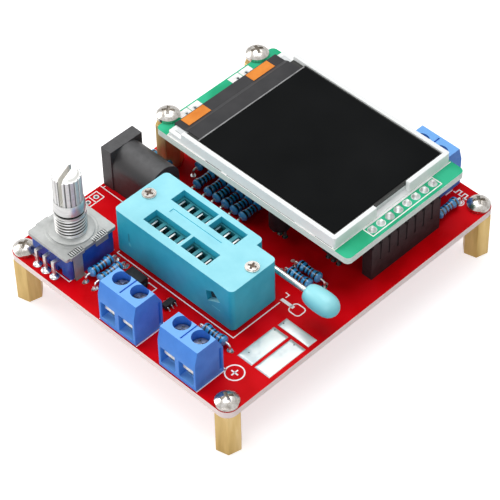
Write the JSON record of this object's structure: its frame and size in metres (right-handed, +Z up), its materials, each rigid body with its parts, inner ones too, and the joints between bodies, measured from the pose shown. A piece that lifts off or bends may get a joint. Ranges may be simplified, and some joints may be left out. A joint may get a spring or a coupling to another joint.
{
  "type": "component tester",
  "caption": "Bench component tester: a red circuit board on brass pillars with a colour display, a lever test socket, a knurled encoder, screw terminals and a power inlet.",
  "frame": {"origin": "centre of the rectangle of the four feet, at the height of their lower ends, on the bench", "axes": "+X to the user's right along the front edge, +Y to the back, towards the display, +Z up"},
  "size_m": [0.0643, 0.0784, 0.0348],
  "materials": {
    "red_board": "solder mask on glass laminate",
    "green_board": "solder mask on glass laminate",
    "pillar_brass": "turned, lightly worn",
    "nickel_screw": "nickel plated",
    "header_black": "moulded",
    "gold_contact": "gold flashed",
    "bezel_white": "moulded",
    "light_guide": "clear acrylic, sealed under the glass",
    "display_glass": "dark glass",
    "polariser_black": "polished film",
    "flex_grey": "polyimide tail",
    "tape_orange": "polyimide tape",
    "socket_teal": "moulded",
    "socket_cyan": "moulded",
    "tinned_metal": "bright tin plate",
    "encoder_blue": "moulded",
    "rotor_ivory": "moulded",
    "plate_steel": "matte plated sheet",
    "turned_metal": "nickel plated, turned",
    "terminal_blue": "moulded",
    "inlet_black": "moulded",
    "resistor_blue": "lacquered",
    "moulding_black": "moulded",
    "can_dark": "sleeved cans and dipped discs"
  },
  "bodies": {
    "root": {"main_board": "red_board", "feet": "pillar_brass", "board_screws": "nickel_screw", "display_pillars": "pillar_brass", "display_screws": "nickel_screw", "display_base_screws": "nickel_screw", "header_socket": "header_black", "header_contacts": "gold_contact", "header_strip": "header_black", "header_pins": "gold_contact", "display_board": "green_board", "display_bezel": "bezel_white", "display_light_guide": "light_guide", "display_lower_glass": "display_glass", "display_upper_glass": "display_glass", "display_polariser": "polariser_black", "display_flex": "flex_grey", "display_tapes": "tape_orange", "zif_base": "socket_teal", "zif_contacts": "tinned_metal", "zif_cover": "socket_cyan", "zif_screws": "nickel_screw", "encoder_base": "encoder_blue", "encoder_dome": "tinned_metal", "encoder_plate": "plate_steel", "encoder_bush": "turned_metal", "encoder_pins": "tinned_metal", "terminal_1_housing": "terminal_blue", "terminal_2_housing": "terminal_blue", "terminal_3_housing": "terminal_blue", "terminal_cages": "tinned_metal", "jack_housing": "inlet_black", "jack_centre_pin": "tinned_metal", "jack_springs": "tinned_metal", "resistor_bodies": "resistor_blue", "resistor_leads": "tinned_metal", "transistor_bodies": "moulding_black", "transistor_leads": "tinned_metal", "microcontroller": "moulding_black", "microcontroller_pins": "tinned_metal", "crystal": "tinned_metal", "capacitors": "can_dark", "surface_parts": "moulding_black"},
    "rotor": {"encoder_rotor": "rotor_ivory"},
    "shaft": {"encoder_shaft": "turned_metal"},
    "lever": {"zif_lever_rod": "tinned_metal", "zif_lever_knob": "socket_cyan"},
    "slider": {"zif_slider": "socket_teal"},
    "clamp_1_left": {"terminal_1_left_clamp": "tinned_metal"},
    "screw_1_left": {"terminal_1_left_screw": "nickel_screw"},
    "clamp_1_right": {"terminal_1_right_clamp": "tinned_metal"},
    "screw_1_right": {"terminal_1_right_screw": "nickel_screw"},
    "clamp_2_left": {"terminal_2_left_clamp": "tinned_metal"},
    "screw_2_left": {"terminal_2_left_screw": "nickel_screw"},
    "clamp_2_right": {"terminal_2_right_clamp": "tinned_metal"},
    "screw_2_right": {"terminal_2_right_screw": "nickel_screw"},
    "clamp_3_left": {"terminal_3_left_clamp": "tinned_metal"},
    "screw_3_left": {"terminal_3_left_screw": "nickel_screw"},
    "clamp_3_right": {"terminal_3_right_clamp": "tinned_metal"},
    "screw_3_right": {"terminal_3_right_screw": "nickel_screw"}
  },
  "joints": [
    {"name": "encoder_turn", "type": "hinge", "parent": "root", "child": "rotor", "pos_m": [-0.0216, -0.0298, 0.016], "axis": [0, 0, 1], "continuous": true},
    {"name": "encoder_push", "type": "slide", "parent": "rotor", "child": "shaft", "axis": [0, 0, -1], "range_m": [0, 0.0005], "stiffness_N_per_m": 4000, "springref_m": -0.00002},
    {"name": "lever_turn", "type": "hinge", "parent": "root", "child": "lever", "pos_m": [0.0138, -0.00993, 0.0197], "axis": [0, -1, 0], "range_deg": [0, 90]},
    {"name": "slider_move", "type": "slide", "parent": "root", "child": "slider", "axis": [-1, 0, 0], "range_m": [0, 0.001]},
    {"name": "clamp_1_left_move", "type": "slide", "parent": "root", "child": "clamp_1_left", "axis": [0, 0, -1], "range_m": [0, 0.002]},
    {"name": "screw_1_left_turn", "type": "hinge", "parent": "clamp_1_left", "child": "screw_1_left", "pos_m": [-0.00164, -0.0345, 0.0206], "axis": [0, 0, -1], "range_deg": [0, 1440]},
    {"name": "clamp_1_right_move", "type": "slide", "parent": "root", "child": "clamp_1_right", "axis": [0, 0, -1], "range_m": [0, 0.002]},
    {"name": "screw_1_right_turn", "type": "hinge", "parent": "clamp_1_right", "child": "screw_1_right", "pos_m": [0.00344, -0.0345, 0.0206], "axis": [0, 0, -1], "range_deg": [0, 1440]},
    {"name": "clamp_2_left_move", "type": "slide", "parent": "root", "child": "clamp_2_left", "axis": [0, 0, -1], "range_m": [0, 0.002]},
    {"name": "screw_2_left_turn", "type": "hinge", "parent": "clamp_2_left", "child": "screw_2_left", "pos_m": [0.01516, -0.0345, 0.0206], "axis": [0, 0, -1], "range_deg": [0, 1440]},
    {"name": "clamp_2_right_move", "type": "slide", "parent": "root", "child": "clamp_2_right", "axis": [0, 0, -1], "range_m": [0, 0.002]},
    {"name": "screw_2_right_turn", "type": "hinge", "parent": "clamp_2_right", "child": "screw_2_right", "pos_m": [0.02024, -0.0345, 0.0206], "axis": [0, 0, -1], "range_deg": [0, 1440]},
    {"name": "clamp_3_left_move", "type": "slide", "parent": "root", "child": "clamp_3_left", "axis": [0, 0, -1], "range_m": [0, 0.002]},
    {"name": "screw_3_left_turn", "type": "hinge", "parent": "clamp_3_left", "child": "screw_3_left", "pos_m": [0.01416, 0.0345, 0.0206], "axis": [0, 0, -1], "range_deg": [0, 1440]},
    {"name": "clamp_3_right_move", "type": "slide", "parent": "root", "child": "clamp_3_right", "axis": [0, 0, -1], "range_m": [0, 0.002]},
    {"name": "screw_3_right_turn", "type": "hinge", "parent": "clamp_3_right", "child": "screw_3_right", "pos_m": [0.01924, 0.0345, 0.0206], "axis": [0, 0, -1], "range_deg": [0, 1440]}
  ],
  "couplings": [
    {"joint": "lever_turn", "follows": "slider_move", "rad_per_m": 1570.8},
    {"joint": "screw_1_left_turn", "follows": "clamp_1_left_move", "rad_per_m": 12566},
    {"joint": "screw_1_right_turn", "follows": "clamp_1_right_move", "rad_per_m": 12566},
    {"joint": "screw_2_left_turn", "follows": "clamp_2_left_move", "rad_per_m": 12566},
    {"joint": "screw_2_right_turn", "follows": "clamp_2_right_move", "rad_per_m": 12566},
    {"joint": "screw_3_left_turn", "follows": "clamp_3_left_move", "rad_per_m": 12566},
    {"joint": "screw_3_right_turn", "follows": "clamp_3_right_move", "rad_per_m": 12566}
  ]
}
